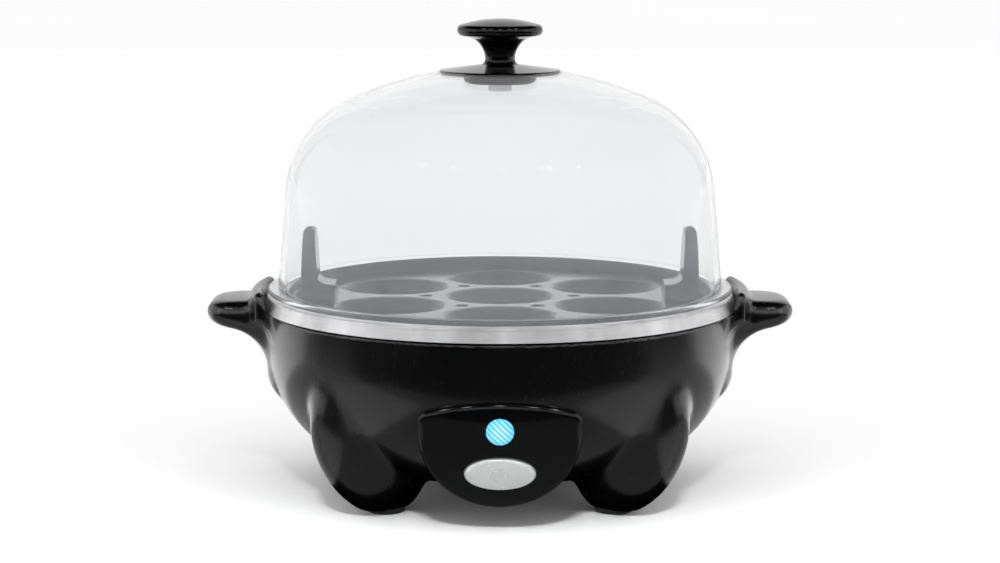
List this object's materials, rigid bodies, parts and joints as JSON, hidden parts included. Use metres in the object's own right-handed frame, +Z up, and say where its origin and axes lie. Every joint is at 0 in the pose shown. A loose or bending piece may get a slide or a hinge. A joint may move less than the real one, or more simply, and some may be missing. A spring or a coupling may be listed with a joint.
{
  "type": "egg cooker",
  "caption": "Electric egg cooker: black bowl on bulging legs, steam pan, lift-out egg tray, clear domed lid with knob, front panel with lamp and push button.",
  "frame": {"origin": "on the ground under the centre of the bowl", "axes": "+X to the right-hand handle seen from the front, -Y out of the control panel, +Z up"},
  "size_m": [0.19, 0.1534, 0.1539],
  "materials": {
    "clear_plastic": "clear, faintly milky moulded plastic",
    "smoke_plastic": "smoky translucent moulded plastic",
    "black_gloss": "glossy black moulded plastic",
    "black_matte": "fine-textured black plastic",
    "brushed_steel": "circular brushed stainless steel",
    "steel": "plain steel",
    "brass": "plain brass",
    "aluminium": "cast aluminium",
    "silicone": "translucent grey silicone",
    "rubber": "soft matt black",
    "silver_paint": "satin silver paint on plastic",
    "blue_lens": "tinted blue, faceted inside",
    "lamp_clear": "clear epoxy",
    "board_green": "solder-masked board",
    "block_white": "natural moulded plastic",
    "lead_sleeve": "woven sleeve"
  },
  "bodies": {
    "base": {"bezel_screws": "steel", "board_screws": "steel", "bottom_cover": "black_matte", "buzzer": "black_matte", "control_bezel": "black_gloss", "control_board": "board_green", "cord_gland": "rubber", "cover_screws": "steel", "foot_pad_front_left": "rubber", "foot_pad_front_right": "rubber", "foot_pad_rear_left": "rubber", "foot_pad_rear_right": "rubber", "fuse_clip": "steel", "heat_diffuser": "aluminium", "heater_element": "steel", "heater_terminals": "steel", "housing": "black_gloss", "indicator_lamp": "lamp_clear", "indicator_lens": "blue_lens", "lead_fuse": "lead_sleeve", "lead_heater": "lead_sleeve", "lead_live": "lead_sleeve", "lead_neutral": "lead_sleeve", "lead_switched": "lead_sleeve", "pan_gasket": "silicone", "pan_screws": "steel", "pan_standoffs": "steel", "strap_screws": "steel", "switch_body": "black_matte", "switch_spring": "steel", "terminal_block": "block_white", "terminal_screws": "brass", "thermal_fuse": "steel", "thermostat": "steel", "thermostat_strap": "steel", "water_pan": "brushed_steel"},
    "tray": {"egg_tray": "smoke_plastic"},
    "lid": {"lid_dome": "clear_plastic", "lid_knob": "black_gloss", "knob_seal": "silicone", "knob_washer": "black_matte", "knob_screw": "steel"},
    "power_button": {"power_button": "silver_paint"}
  },
  "joints": [
    {"name": "tray_lift", "type": "slide", "parent": "base", "child": "tray", "axis": [0, 0, 1], "range_m": [0, 0.04]},
    {"name": "lid_lift", "type": "slide", "parent": "tray", "child": "lid", "axis": [0, 0, 1], "range_m": [0, 0.12]},
    {"name": "button_press", "type": "slide", "parent": "base", "child": "power_button", "axis": [0, 0.907, 0.4211], "range_m": [0, 0.002], "stiffness_N_per_m": 600, "springref_m": -0.0005, "deforming": ["switch_spring"]}
  ]
}
